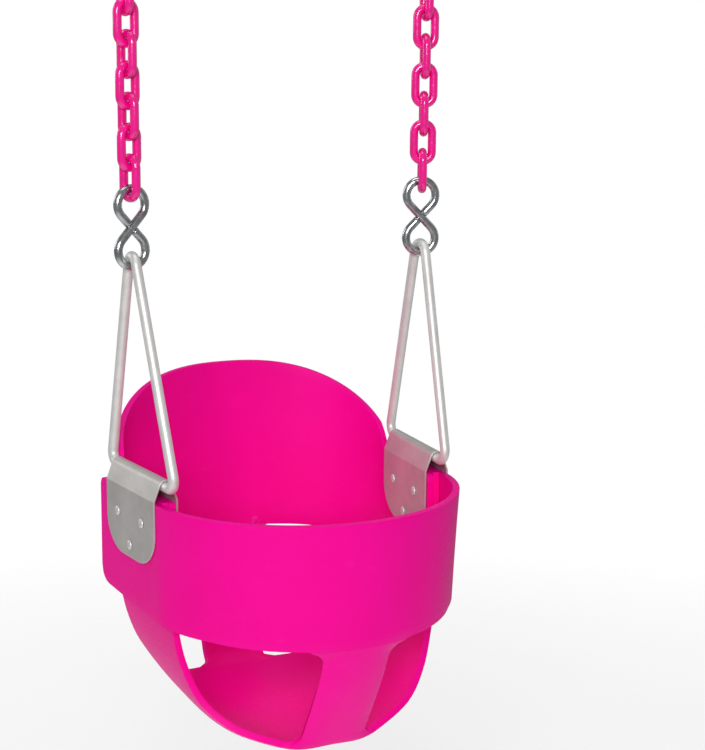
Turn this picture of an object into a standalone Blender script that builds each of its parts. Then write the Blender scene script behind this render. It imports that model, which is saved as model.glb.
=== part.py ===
"""Toddler bucket swing: a one-piece plastic bucket seat on two triangle hangers, S-hooks and coated chains.

Frame: metres, +Z up, the seat faces -Y, and +X is to the right of someone who looks at the seat from
its front. The origin is midway between the two points where the carabiners hang on the beam.
The seat and its hangers are drawn in hanger coordinates, whose origin is midway between the two rods'
tops, and are placed by their objects' locations.
"""
from math import acos, asin, atan2, cos, hypot, pi, radians, sin, tan

import bmesh
import bpy
import numpy as np
from mathutils import Matrix, Vector

SIDES = {"left": -1, "right": 1}
GAP = 0.0003  # between pieces that touch
PLAY = 0.0005  # between links, whose turned bows slip a little as they swing

# carabiners
CARABINER_LENGTH = 0.080
CARABINER_WIDE = 0.0425
CARABINER_NARROW = 0.0230
CARABINER_ROD = 0.0064
GATE_TOP = 0.0585  # height of the hinge pin over the wide bow's centreline
GATE_NOSE = 0.0265  # height of the nose joint
PIN_RADIUS = 0.0009
TANG_THICK = 0.0018
FORK_SLOT = 0.0026

# chain
LINK_PITCH = 0.0243
LINK_ROD = 0.0072
LINK_WIDTH = 0.0227
LINK_COUNT = 7
CHAIN_TWIST = {"left": radians(20), "right": radians(-24)}
CHAIN_SPLAY = tan(radians(0.7))

# S-hooks
HOOK_ROD = 0.0070
HOOK_HEIGHT = 0.0695
HOOK_WIDTH = 0.0325
HOOK_CLOSE = 0.0041  # from the diagonal's centreline to a bent-in end
HOOK_TWIST = {"left": radians(13), "right": radians(-16)}

# triangle hangers
HANGER_X = 0.1317
HANGER_ROD = 0.0085
HANGER_DROP = 0.1806
HANGER_REAR = 0.056
HANGER_FRONT = -0.070
APEX_BEND = 0.0100
CORNER_BEND = 0.0090

# saddle plates, folded over the hangers' base rods
ROLL_X = 0.1280
TOE = tan(radians(5.1))  # the hangers stand closer together at the front
SADDLE_MID = -0.004
SADDLE_LENGTH = 0.094
SADDLE_SHEET = 0.0016
SADDLE_CREASE = 0.0115
SADDLE_SHOULDER = 0.040
SADDLE_DEPTH = 0.069
SADDLE_CORNER = 0.032
RIVETS = ((0.0235, -0.034), (-0.0235, -0.034), (0.0, -0.058))
RIVET_RADIUS = 0.0024
RIVET_HEAD = 0.0041

# seat
SHEET = 0.0056
LAYER = SHEET + 0.0004
BAND_FRONT = -0.1652
BAND_ARC_START = -0.044
BAND_REAR = 0.060
BAND_TOP = -0.1945
BAND_LOW = ((-0.165, -0.298), (-0.075, -0.294), (-0.020, -0.291), (0.048, -0.286))  # y, z
BAND_TAPER = 0.0072
BAND_ROUND_LOW = 0.0145
BAND_ROUND_TOP = 0.0060
STRAP_HALF = 0.028
STRAP_FILLET = 0.017
FLOOR_FILLET = 0.010
TAIL_FILLET = 0.013
BACK_REAR = 0.131
BACK_ARC_START = 0.045
BACK_LOW = ((-0.051, -0.262), (0.040, -0.262), (0.058, -0.282), (0.085, -0.280), (0.120, -0.275), (0.131, -0.274))
BACK_RIM = -0.117
RIM_FALL = 0.069
RIM_POWER = 2.6
RIM_STEP = ((-0.051, 0.0), (0.0445, 0.0), (0.060, 1.0), (0.131, 1.0))
STEP_LINES = (0.060, 0.052, 0.0445)  # grid lines where the rim steps down to the plates
WING_TOP = -0.194
WING_FRONT = -0.051
WING_ROUND_LOW = 0.013
WING_ROUND_TOP = 0.006
HIP_TOP = -0.1935
SEAT_SAG = 0.013
COLUMNS = 4  # across half a strap
FLAT_BELOW = -0.252  # the layers are flat against each other above this height
RIVET_LINES = (-0.0375, -0.0175, 0.0095, 0.0295)  # grid lines between the rivets, along the saddle
RIVET_ROWS = (-0.2505, -0.2265, -0.2055)  # and across it
BAND_ROWS = (0, 0.20, 0.41, 0.66, 0.88, 1)  # shares of the wall's height that leave the rivets clear
BACK_ROWS = (0, 0.18, 0.52, 0.82, 1)
HIP_ROWS = (0, 0.06, 0.137, 0.357, 0.654, 0.874, 0.94, 1)

STRAP_PROFILE = ((-0.158, -0.298), (-0.149, -0.318), (-0.140, -0.336), (-0.128, -0.357), (-0.115, -0.378),
                 (-0.103, -0.398))
TAIL_PROFILE = ((0.131, -0.274), (0.131, -0.320), (0.125, -0.362), (0.116, -0.389), (0.106, -0.399))

BOW_Z = -(CARABINER_LENGTH - 1.5 * CARABINER_ROD)  # centreline of the wide bow, under the bearing point
LINK_INNER = LINK_PITCH + PLAY
TOP_LINK_Z = BOW_Z + CARABINER_ROD / 2 + PLAY - LINK_INNER / 2
BOTTOM_LINK_Z = TOP_LINK_Z - LINK_PITCH * (LINK_COUNT - 1)
HOOK_TOP_Z = BOTTOM_LINK_Z - LINK_INNER / 2 + PLAY + HOOK_ROD / 2
HOOK_BOTTOM_Z = HOOK_TOP_Z - (HOOK_HEIGHT - HOOK_ROD)
APEX_Z = HOOK_BOTTOM_Z + HOOK_ROD / 2 + GAP + HANGER_ROD / 2


def chain_x(side, z):
    """The chains stand a little further apart at the beam than at the hangers."""
    return SIDES[side] * (HANGER_X + (z - APEX_Z) * CHAIN_SPLAY)


def chain_twist(side, number):
    """The chains are turned about their own length, less so next to the carabiners."""
    return CHAIN_TWIST[side] * min(1.0, (number + 1) / 5)


def clear_objects():
    for thing in list(bpy.data.objects):
        bpy.data.objects.remove(thing)


def material(name, colour, roughness, metallic=0.0, coat=0.0):
    made = bpy.data.materials.new(name)
    made.use_nodes = True
    shader = made.node_tree.nodes["Principled BSDF"]
    shader.inputs["Base Color"].default_value = (*colour, 1.0)
    shader.inputs["Roughness"].default_value = roughness
    shader.inputs["Metallic"].default_value = metallic
    shader.inputs["Coat Weight"].default_value = coat
    return made


def add_object(name, mesh, finish, smooth=50):
    if smooth:
        mesh.shade_smooth()
        mesh.set_sharp_from_angle(angle=radians(smooth))
    mesh.materials.clear()
    mesh.materials.append(finish)
    made = bpy.data.objects.new(name, mesh)
    bpy.context.collection.objects.link(made)
    return made


def mesh_of(shape, name):
    bmesh.ops.recalc_face_normals(shape, faces=shape.faces)
    mesh = bpy.data.meshes.new(name)
    shape.to_mesh(mesh)
    shape.free()
    return mesh


def cut(target, cutters, operation="DIFFERENCE"):
    for index, cutter in enumerate(cutters):
        cutter.hide_render = True
        cutter.display_type = "WIRE"
        step = target.modifiers.new(f"cut_{index}", "BOOLEAN")
        step.operation = operation
        step.object = cutter
        step.solver = "EXACT"


def arc(centre, radius, start, end, steps):
    """Points on an arc, angles in radians, both ends included."""
    angles = np.linspace(start, end, steps + 1)
    return [(centre[0] + radius * cos(a), centre[1] + radius * sin(a)) for a in angles]


def rounded(corners, radii, steps):
    """A closed outline of straight sides whose corners are rounded by tangent arcs."""
    path = []
    count = len(corners)
    for i, corner in enumerate(corners):
        here = Vector(corner)
        before = (Vector(corners[i - 1]) - here).normalized()
        after = (Vector(corners[(i + 1) % count]) - here).normalized()
        half = before.angle(after) / 2
        back = radii[i] / tan(half)
        centre = here + (before + after).normalized() * (radii[i] / sin(half))
        start = here + before * back - centre
        end = here + after * back - centre
        turn = start.angle_signed(end)
        for step in range(steps + 1):
            angle = -turn * step / steps
            path.append(centre + Matrix.Rotation(angle, 2) @ start)
    return [(p.x, p.y) for p in path]


def sweep(path, radius, sides, closed=True, plane="XZ"):
    """A round rod along a flat path: one ring of points for each point of the path."""
    shape = bmesh.new()
    count = len(path)
    rings = []
    for i, (a, b) in enumerate(path):
        before = path[i - 1] if closed or i else path[0]
        after = path[(i + 1) % count] if closed or i < count - 1 else path[-1]
        along = Vector((after[0] - before[0], after[1] - before[1])).normalized()
        ring = []
        for k in range(sides):
            angle = 2 * pi * k / sides
            inward = radius * cos(angle)
            aside = radius * sin(angle)
            u, w = a - along.y * inward, b + along.x * inward
            ring.append(shape.verts.new((u, aside, w) if plane == "XZ" else (aside, u, w)))
        rings.append(ring)
    for i in range(count if closed else count - 1):
        ring, after = rings[i], rings[(i + 1) % count]
        for k in range(sides):
            shape.faces.new((ring[k], ring[(k + 1) % sides], after[(k + 1) % sides], after[k]))
    if not closed:
        shape.faces.new(rings[0])
        shape.faces.new(rings[-1])
    return shape


# ---------------------------------------------------------------- chain and hooks

def link_mesh():
    """An oval link in the YZ plane, standing."""
    bend = (LINK_WIDTH - LINK_ROD) / 2
    rise = LINK_INNER / 2 + LINK_ROD / 2 - bend
    path = arc((0, rise), bend, 0, pi, 7) + arc((0, -rise), bend, pi, 2 * pi, 7)
    return mesh_of(sweep(path, LINK_ROD / 2, 8, plane="YZ"), "chain_link")


def chain(finish):
    mesh = link_mesh()
    for side in SIDES:
        for number in range(1, LINK_COUNT + 1):
            link = add_object(f"chain_link_{side}_{number}", mesh, finish)
            z = TOP_LINK_Z - LINK_PITCH * (number - 1)
            link.location = (chain_x(side, z), 0, z)
            link.rotation_euler.z = chain_twist(side, number) + (pi / 2 if number % 2 == 0 else 0)


def hook_path():
    """Half of an S-hook's centreline: off its diagonal, round the upper loop and back to close on the diagonal."""
    loop = (HOOK_WIDTH - HOOK_ROD) / 2
    rise = (HOOK_HEIGHT - HOOK_ROD) / 2 - loop
    waist = asin(loop / rise)
    over = arc((0, rise), loop, -waist, pi + waist, 12)
    end = Vector(over[-1])
    stop = end.normalized() * HOOK_CLOSE
    return over + [tuple(end.lerp(stop, 0.5)), tuple(stop)]


def hook_mesh(mirror):
    upper = hook_path()
    lower = [(-x, -z) for x, z in upper]
    path = [(mirror * x, z) for x, z in lower[::-1] + upper]
    return mesh_of(sweep(path, HOOK_ROD / 2, 8, closed=False), "s_hook")


def hooks(finish):
    for side, sign in SIDES.items():
        hook = add_object(f"s_hook_{side}", hook_mesh(-sign), finish)
        hook.location = (SIDES[side] * HANGER_X, 0, (HOOK_TOP_Z + HOOK_BOTTOM_Z) / 2)
        hook.rotation_euler.z = HOOK_TWIST[side]


# ---------------------------------------------------------------- carabiners

def carabiner_outline():
    """Centreline of the pear: wide bow at the bottom, narrow bow at the top, both round."""
    wide = (CARABINER_WIDE - CARABINER_ROD) / 2
    narrow = (CARABINER_NARROW - CARABINER_ROD) / 2
    low = wide
    high = CARABINER_LENGTH - CARABINER_ROD - narrow
    lean = asin((wide - narrow) / (high - low))
    return wide, narrow, low, high, lean


def gate_line(height):
    """The gate's straight side: its x at a height over the wide bow's centreline."""
    wide, narrow, low, high, lean = carabiner_outline()
    return wide / cos(lean) - (height - low) * tan(lean)


def carabiner_body_mesh():
    wide, narrow, low, high, lean = carabiner_outline()
    over = arc((0, high), narrow, lean, pi - lean, 8)
    under = arc((0, low), wide, pi - lean, 2 * pi + lean, 14)
    nose_top = GATE_NOSE - 0.0006
    hinge_low = GATE_TOP + 0.0042
    path = [(gate_line(hinge_low), hinge_low)] + over + under + [(gate_line(nose_top), nose_top)]
    return mesh_of(sweep(path, CARABINER_ROD / 2, 10, closed=False), "carabiner_body")


def gate_frame():
    """The gate's own frame: origin on the hinge pin, Z along the gate towards the hinge."""
    lean = carabiner_outline()[4]
    return Matrix.Translation((gate_line(GATE_TOP), 0, GATE_TOP)) @ Matrix.Rotation(-lean, 4, "Y")


def gate_drop():
    """Distance along the gate from its pin to its nose end."""
    return (GATE_TOP - GATE_NOSE) / cos(carabiner_outline()[4])


def tang_mesh(name):
    """The body's tongue inside the gate's fork, with the pin's hole: drawn in the gate's frame."""
    round_end = arc((0, 0), 0.0024, pi, 2 * pi, 8)
    outline = round_end + [(0.0024, 0.0052), (-0.0024, 0.0052)]
    return prism(outline, -TANG_THICK / 2, TANG_THICK / 2, "Y", name)


def nose_mesh(name):
    """The body's tongue at the nose: it reaches up into the gate's lower fork."""
    low = -gate_drop() - 0.0030
    outline = [(-0.0018, low), (0.0018, low), (0.0018, low + 0.0052), (0.0006, low + 0.0064), (-0.0018, low + 0.0058)]
    return prism(outline, -TANG_THICK / 2, TANG_THICK / 2, "Y", name)


def helper(name, mesh, place):
    made = bpy.data.objects.new(name, mesh)
    bpy.context.collection.objects.link(made)
    made.hide_render = True
    made.display_type = "WIRE"
    made.matrix_world = place
    return made


def pin_cutter(name, place, radius):
    shape = bmesh.new()
    bmesh.ops.create_cone(shape, cap_ends=True, segments=12, radius1=radius, radius2=radius, depth=0.012)
    bmesh.ops.rotate(shape, verts=shape.verts, matrix=Matrix.Rotation(pi / 2, 3, "X"))
    return helper(name, mesh_of(shape, name), place)


def carabiner_body(side, place, finish):
    body = add_object(f"carabiner_body_{side}", carabiner_body_mesh(), finish)
    body.matrix_world = place
    frame = place @ gate_frame()
    tongues = [helper(f"tang_{side}", tang_mesh("tang"), frame), helper(f"nose_{side}", nose_mesh("nose"), frame)]
    cut(body, tongues, "UNION")
    hole = body.modifiers.new("pin_hole", "BOOLEAN")
    hole.object = pin_cutter(f"pin_hole_{side}", frame, PIN_RADIUS + GAP)
    hole.solver = "EXACT"


def gate_mesh():
    """The gate is a round bar forked at both ends, with a bore for its spring under the hinge."""
    top, low = 0.0024, -gate_drop()
    return mesh_of(sweep([(0, low), (0, top)], CARABINER_ROD / 2, 12, closed=False), "carabiner_gate")


def slot_mesh(low, high, name):
    half = CARABINER_ROD
    outline = [(-half, low), (half, low), (half, high), (-half, high)]
    return prism(outline, -FORK_SLOT / 2, FORK_SLOT / 2, "Y", name)


def carabiner_gate(side, place, finish):
    frame = place @ gate_frame()
    gate = add_object(f"carabiner_gate_{side}", gate_mesh(), finish)
    gate.matrix_world = frame
    low = -gate_drop()
    bore = mesh_of(sweep([(0, -0.0130), (0, -0.0020)], 0.0019, 12, closed=False), "bore")
    cutters = [
        helper(f"fork_top_{side}", slot_mesh(-0.0030, 0.0080, "slot"), frame),
        helper(f"fork_low_{side}", slot_mesh(low - 0.0040, low + 0.0046, "slot"), frame),
        helper(f"spring_bore_{side}", bore, frame),
        pin_cutter(f"gate_pin_hole_{side}", frame, PIN_RADIUS + GAP),
    ]
    cut(gate, cutters)


def gate_pin(side, place, finish):
    shape = bmesh.new()
    depth = CARABINER_ROD * 0.92
    bmesh.ops.create_cone(shape, cap_ends=True, segments=12, radius1=PIN_RADIUS, radius2=PIN_RADIUS, depth=depth)
    bmesh.ops.rotate(shape, verts=shape.verts, matrix=Matrix.Rotation(pi / 2, 3, "X"))
    pin = add_object(f"gate_pin_{side}", mesh_of(shape, "gate_pin"), finish)
    pin.matrix_world = place @ gate_frame()


def gate_spring(side, place, finish):
    """A small coil between the bore's floor and the body's tongue."""
    shape = bmesh.new()
    turns, steps, sides, radius, wire = 5, 10, 5, 0.00125, 0.00032
    low, high = -0.0124, -0.0034
    rings = []
    for i in range(turns * steps + 1):
        angle = 2 * pi * i / steps
        share = i / (turns * steps)
        middle = Vector((radius * cos(angle), radius * sin(angle), low + (high - low) * share))
        outward = Vector((cos(angle), sin(angle), 0))
        ring = []
        for k in range(sides):
            turn = 2 * pi * k / sides
            ring.append(shape.verts.new(middle + wire * (outward * cos(turn) + Vector((0, 0, 1)) * sin(turn))))
        rings.append(ring)
    for ring, after in zip(rings, rings[1:]):
        for k in range(sides):
            shape.faces.new((ring[k], ring[(k + 1) % sides], after[(k + 1) % sides], after[k]))
    shape.faces.new(rings[0])
    shape.faces.new(rings[-1])
    spring = add_object(f"gate_spring_{side}", mesh_of(shape, "gate_spring"), finish)
    spring.matrix_world = place @ gate_frame()


def carabiners(finish, dark):
    for side, sign in SIDES.items():
        turn = chain_twist(side, 1) + (0 if sign > 0 else pi)
        place = Matrix.Translation((chain_x(side, BOW_Z), 0, BOW_Z)) @ Matrix.Rotation(turn, 4, "Z")
        carabiner_body(side, place, finish)
        carabiner_gate(side, place, finish)
        gate_pin(side, place, dark)
        gate_spring(side, place, dark)


# ---------------------------------------------------------------- triangle hangers and saddles

def hanger_mesh():
    """A rod bent to a triangle in the YZ plane, welded into one ring; its top's centreline is at z = 0."""
    half = (HANGER_REAR - HANGER_FRONT) / 2
    spread = atan2(half, HANGER_DROP)
    peak = APEX_BEND * (1 / sin(spread) - 1)
    lean = atan2((HANGER_REAR + HANGER_FRONT) / 2, HANGER_DROP)
    corners = [(-peak * sin(lean), peak), (HANGER_REAR, -HANGER_DROP), (HANGER_FRONT, -HANGER_DROP)]
    path = rounded(corners, (APEX_BEND, CORNER_BEND, CORNER_BEND), 5)
    rise = max(z for y, z in path)
    path = [(y, z - rise * (1 + z / HANGER_DROP)) for y, z in path]
    return mesh_of(sweep(path, HANGER_ROD / 2, 8, plane="YZ"), "triangle_hanger")


def roll_x(y):
    return ROLL_X + (y - SADDLE_MID) * TOE


def hangers(finish):
    """Each ring is upright, and toes in with its saddle; its top leans out to the S-hook above it."""
    for side, sign in SIDES.items():
        mesh = hanger_mesh()
        foot = sign * roll_x(0)
        for v in mesh.vertices:
            share = max(0.0, min(1.0, -v.co.z / HANGER_DROP))
            v.co.x += sign * (HANGER_X * (1 - share)) + foot * share + sign * v.co.y * TOE * share
        add_object(f"triangle_hanger_{side}", mesh, finish).location.z = APEX_Z


def saddle_section():
    """The folded sheet in XZ, seen along the rod: both flanges, with the roll over the rod between them."""
    flange = 1.5 * LAYER + GAP + SADDLE_SHEET
    roll = HANGER_ROD / 2 + GAP + SADDLE_SHEET
    reach = hypot(flange, SADDLE_CREASE)
    start = atan2(-SADDLE_CREASE, flange) + acos(roll / reach)
    over = arc((0, 0), roll, start, pi - start, 10)
    under = arc((0, 0), roll - SADDLE_SHEET, start, pi - start, 10)
    inside = flange - SADDLE_SHEET
    outer = [(flange, -SADDLE_DEPTH), (flange, -SADDLE_CREASE)] + over
    outer += [(-flange, -SADDLE_CREASE), (-flange, -SADDLE_DEPTH)]
    inner = [(inside, -SADDLE_DEPTH), (inside, -SADDLE_CREASE)] + under
    inner += [(-inside, -SADDLE_CREASE), (-inside, -SADDLE_DEPTH)]
    return outer + inner[::-1]


def prism(outline, low, high, axis, name):
    """A flat outline given a length: along Y its points are x, z and along X they are y, z."""
    shape = bmesh.new()
    corners = [(u, low, w) if axis == "Y" else (low, u, w) for u, w in outline]
    face = shape.faces.new([shape.verts.new(corner) for corner in corners])
    made = bmesh.ops.extrude_face_region(shape, geom=[face])
    moved = [v for v in made["geom"] if isinstance(v, bmesh.types.BMVert)]
    bmesh.ops.translate(shape, verts=moved, vec=(0, high - low, 0) if axis == "Y" else (high - low, 0, 0))
    return mesh_of(shape, name)


def saddle_outline():
    """The plate seen from the side, taller than the fold and with round lower corners."""
    half = SADDLE_LENGTH / 2
    fall = SADDLE_DEPTH - SADDLE_SHOULDER
    turns = np.linspace(0, pi / 2, 7)
    right = [(half - SADDLE_CORNER * (1 - cos(a)), -SADDLE_SHOULDER - fall * sin(a)) for a in turns]
    left = [(-y, z) for y, z in right[::-1]]
    return [(-half, 0.012), (half, 0.012)] + right + left


def saddle_frame(side):
    """The saddle's own frame: origin on the rod's centreline at the plate's middle, Y along the rod."""
    sign = SIDES[side]
    turn = Matrix.Rotation(-sign * atan2(TOE, 1), 4, "Z")
    return Matrix.Translation((sign * ROLL_X, SADDLE_MID, APEX_Z - HANGER_DROP)) @ turn


def saddles(finish):
    half = SADDLE_LENGTH / 2
    for side in SIDES:
        frame = saddle_frame(side)
        plate = add_object(f"hanger_plate_{side}", prism(saddle_section(), -half, half, "Y", "saddle"), finish, 40)
        plate.matrix_world = frame
        trim = helper(f"plate_trim_{side}", prism(saddle_outline(), -0.03, 0.03, "X", "trim"), frame)
        cut(plate, [trim], "INTERSECT")
        for number, (y, z) in enumerate(RIVETS):
            hole = plate.modifiers.new(f"hole_{number}", "BOOLEAN")
            hole.object = rivet_cutter(f"plate_hole_{side}_{number}", frame, y, z)
            hole.solver = "EXACT"


def rivet_cutter(name, frame, y, z):
    shape = bmesh.new()
    radius = RIVET_RADIUS + GAP
    bmesh.ops.create_cone(shape, cap_ends=True, segments=14, radius1=radius, radius2=radius, depth=0.05)
    bmesh.ops.rotate(shape, verts=shape.verts, matrix=Matrix.Rotation(pi / 2, 3, "Y"))
    return helper(name, mesh_of(shape, name), frame @ Matrix.Translation((0, y, z)))


def rivet_mesh():
    """A rivet along X: shank through both flanges and the three layers, domed heads on both faces."""
    face = 1.5 * LAYER + 2 * GAP + SADDLE_SHEET
    dome = [(face, RIVET_HEAD), (face + 0.0009, 0.0038), (face + 0.0017, 0.0027), (face + 0.0021, 0.0013)]
    half = [(face, RIVET_RADIUS)] + dome
    profile = [(-x, r) for x, r in half[::-1]] + half
    shape = bmesh.new()
    rings = []
    for x, r in profile:
        rings.append([shape.verts.new((x, r * cos(a), r * sin(a))) for a in np.arange(12) * pi / 6])
    for ring, after in zip(rings, rings[1:]):
        for k in range(12):
            shape.faces.new((ring[k], ring[(k + 1) % 12], after[(k + 1) % 12], after[k]))
    for ring, x in ((rings[0], -face - 0.0023), (rings[-1], face + 0.0023)):
        tip = shape.verts.new((x, 0, 0))
        for k in range(12):
            shape.faces.new((ring[k], ring[(k + 1) % 12], tip))
    return mesh_of(shape, "rivet")


def rivets(finish):
    mesh = rivet_mesh()
    for side in SIDES:
        for number, (y, z) in enumerate(RIVETS, 1):
            rivet = add_object(f"rivet_{side}_{number}", mesh, finish, 35)
            rivet.matrix_world = saddle_frame(side) @ Matrix.Translation((0, y, z))


# ---------------------------------------------------------------- seat, in hanger coordinates

def side_x(y, layer):
    """Middle of a layer at the hangers: -1 is the back's wing, 0 the hip's, 1 the band's end."""
    return roll_x(y) + layer * LAYER


def spline(points, share):
    """A smooth line through points, read at a share of its length."""
    knots = np.array(points, float)
    last = len(knots) - 1
    steps = np.r_[0, np.cumsum(np.linalg.norm(np.diff(knots, axis=0), axis=1))]
    steps /= steps[-1]
    i = int(np.clip(np.searchsorted(steps, share, side="right") - 1, 0, last - 1))
    h = steps[i + 1] - steps[i]
    t = (share - steps[i]) / h
    slopes = []
    for k in (i, i + 1):
        before, after = max(k - 1, 0), min(k + 1, last)
        slopes.append((knots[after] - knots[before]) / (steps[after] - steps[before]) * h)
    start = (2 * t ** 3 - 3 * t ** 2 + 1) * knots[i] + (t ** 3 - 2 * t ** 2 + t) * slopes[0]
    return start + (3 * t ** 2 - 2 * t ** 3) * knots[i + 1] + (t ** 3 - t ** 2) * slopes[1]


def wall_plan(far, arc_start, layer, end):
    """Right half of a wall's plan: a quarter ellipse from the centre line, then straight along the toe line."""
    angles = np.linspace(0, pi / 2, 240)
    half = side_x(arc_start, layer)
    bend = np.stack([half * np.sin(angles), arc_start + (far - arc_start) * np.cos(angles)], 1)
    y = np.linspace(arc_start, end, 60)[1:]
    return np.vstack([bend, np.stack([side_x(y, layer), y], 1)])


def stations(path, first, rest, bend, lines):
    """Distances along a plan: strap columns up to x = first, an even run, the rivets' lines, a rounded end."""
    run = np.r_[0, np.cumsum(np.linalg.norm(np.diff(path, axis=0), axis=1))]
    quarter = 240
    strap = np.interp(first * np.arange(COLUMNS + 1) / COLUMNS, path[:quarter, 0], run[:quarter])
    way = np.sign(path[-1, 1] - path[0, 1])
    fixed = np.interp(way * np.array(lines), way * path[:, 1], run)
    even = np.linspace(strap[-1], fixed[0], rest + 1)[1:-1]
    turn = run[-1] - bend * (1 - np.sin(np.radians((0, 30, 60, 90))))
    return run, np.r_[strap, even, fixed, turn]


def rounding(left, radius):
    """How far an edge has drawn in at a distance from the end of its wall."""
    inside = np.clip(radius - left, 0, radius)
    return radius - np.sqrt(radius ** 2 - inside ** 2)


def wall(path, run, places, low, high, bends, shares, taper=None):
    """Grid of points, low edge first. low and high are heights; the taper draws the low edge inwards."""
    slope = np.gradient(path, run, axis=0)
    grid = []
    for k, place in enumerate(places):
        spot = np.array([np.interp(place, run, path[:, i]) for i in (0, 1)])
        along = np.array([np.interp(place, run, slope[:, i]) for i in (0, 1)])
        inward = np.array([-along[1], along[0]]) / np.linalg.norm(along)
        left = run[-1] - place
        bottom = low[k] + rounding(left, bends[0])
        top = high[k] - rounding(left, bends[1])
        column = []
        for v in shares:
            z = bottom + (top - bottom) * v
            push = 0.0 if taper is None else taper[k] * (high[k] - z) / (high[k] - low[k])
            column.append((*(spot + inward * push), z))
        grid.append(column)
    made = np.array(grid).transpose(1, 0, 2)
    made[:, 0, 0] = 0
    return made


def band():
    path = wall_plan(BAND_FRONT, BAND_ARC_START, 1, BAND_REAR)
    run, places = stations(path, STRAP_HALF + STRAP_FILLET, 8, BAND_ROUND_LOW, RIVET_LINES)
    y = np.interp(places, run, path[:, 1])
    low = np.interp(y, *zip(*BAND_LOW))
    taper = BAND_TAPER * np.interp(y, (-0.110, -0.060), (1.0, 0.0))
    return wall(path, run, places, low, np.full(len(y), BAND_TOP), (BAND_ROUND_LOW, BAND_ROUND_TOP), BAND_ROWS, taper)


def back():
    path = wall_plan(BACK_REAR, BACK_ARC_START, -1, WING_FRONT)
    lines = STEP_LINES + RIVET_LINES[::-1]
    run, places = stations(path, STRAP_HALF + TAIL_FILLET, 9, WING_ROUND_LOW, lines)
    y = np.interp(places, run, path[:, 1])
    low = np.interp(y, *zip(*BACK_LOW))
    share = np.clip(places / np.interp(-BACK_ARC_START, -path[:, 1], run), 0, 1)
    rim = BACK_RIM - RIM_FALL * share ** RIM_POWER
    step = np.interp(y, *zip(*RIM_STEP))
    step = step * step * (3 - 2 * step)
    high = rim * step + WING_TOP * (1 - step)
    return wall(path, run, places, low, high, (WING_ROUND_LOW, WING_ROUND_TOP), BACK_ROWS)


def hip_edges():
    front = [(0, -0.103, -0.398), (0.028, -0.102, -0.398), (0.050, -0.097, -0.392), (0.080, -0.086, -0.379),
             (0.101, -0.071, -0.359), (0.113, -0.061, -0.330), (0.119, -0.057, -0.299),
             (side_x(-0.053, 0), -0.053, -0.252), (side_x(-0.050, 0), -0.050, HIP_TOP)]
    rear = [(0, 0.106, -0.399), (0.028, 0.105, -0.399), (0.050, 0.097, -0.397), (0.068, 0.084, -0.388),
            (0.095, 0.060, -0.361), (0.112, 0.050, -0.338), (0.123, 0.046, -0.312), (0.1292, 0.044, -0.285),
            (side_x(0.043, 0), 0.043, -0.252), (side_x(0.041, 0), 0.041, HIP_TOP)]
    return front, rear


def hip(rest=9):
    """The floor with its two wings: rows run from the leg holes' edge to the rear windows' edge."""
    table = np.linspace(0, 1, 400)
    edges = []
    for points in hip_edges():
        line = np.array([spline(points, share) for share in table])
        first = (STRAP_HALF + FLOOR_FILLET) * np.arange(COLUMNS + 1) / COLUMNS
        flat = int(np.argmax(line[:, 0] > 0.100))
        strap_shares = np.interp(first, line[:flat, 0], table[:flat])
        wing_shares = np.interp(RIVET_ROWS, line[flat:, 2], table[flat:])
        even = np.linspace(strap_shares[-1], wing_shares[0], rest + 1)[1:-1]
        shares = np.r_[strap_shares, even, wing_shares, 1]
        edges.append((shares, np.array([spline(points, share) for share in shares])))
    grid = []
    for q in HIP_ROWS:
        row = edges[0][1] * (1 - q) + edges[1][1] * q
        row[:, 2] -= SEAT_SAG * (1 - (2 * q - 1) ** 4) * np.clip(1 - 1.6 * edges[0][0], 0, 1)
        flat = np.clip((row[:, 2] + 0.275) / (0.275 + FLAT_BELOW), 0, 1)
        row[:, 0] += flat * (side_x(row[:, 1], 0) - row[:, 0])
        grid.append(row)
    return np.array(grid)


def strap(top, bottom, profile, fillets, rows=6):
    """A strap between two rows of points, with round fillets where it widens into them."""
    line = np.array([spline(profile, share) for share in np.linspace(0, 1, 200)])
    run = np.r_[0, np.cumsum(np.linalg.norm(np.diff(line, axis=0), axis=1))]
    starts = fillets[0] * (1 - np.cos(np.radians((30, 60, 90))))
    ends = run[-1] - fillets[1] * (1 - np.cos(np.radians((90, 62))))
    middle = np.linspace(starts[-1], ends[0], rows)[1:-1]
    grid = [top]
    for place in np.r_[starts, middle, ends]:
        half = STRAP_HALF + rounding(place, fillets[0]) + rounding(run[-1] - place, fillets[1])
        share = place / run[-1]
        y, z = (np.interp(place, run, line[:, i]) for i in (0, 1))
        row = (top - top[0]) * (1 - share) + (bottom - bottom[0]) * share + (0, y, z)
        row[:, 0] = half * np.arange(COLUMNS + 1) / COLUMNS
        grid.append(row)
    grid.append(bottom)
    return np.array(grid)


def rivet_ring(cell, layer):
    """Where a rivet passes through a grid cell, its hole's outline on the layer; otherwise nothing."""
    turn = atan2(TOE, 1)
    for y, z in RIVETS:
        middle, height = SADDLE_MID + (y - layer * LAYER * sin(turn)) * cos(turn), z - HANGER_DROP
        ys, zs = [p[1] for p in cell], [p[2] for p in cell]
        if min(ys) < middle < max(ys) and min(zs) < height < max(zs) and cell[0][0] > 0.11:
            ring = []
            for a in (np.arange(12) + 0.5) * pi / 6:
                across = middle + (RIVET_RADIUS + GAP) * cos(a) * cos(turn)
                ring.append((side_x(across, layer), across, height + (RIVET_RADIUS + GAP) * sin(a)))
            return ring
    return None


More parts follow.
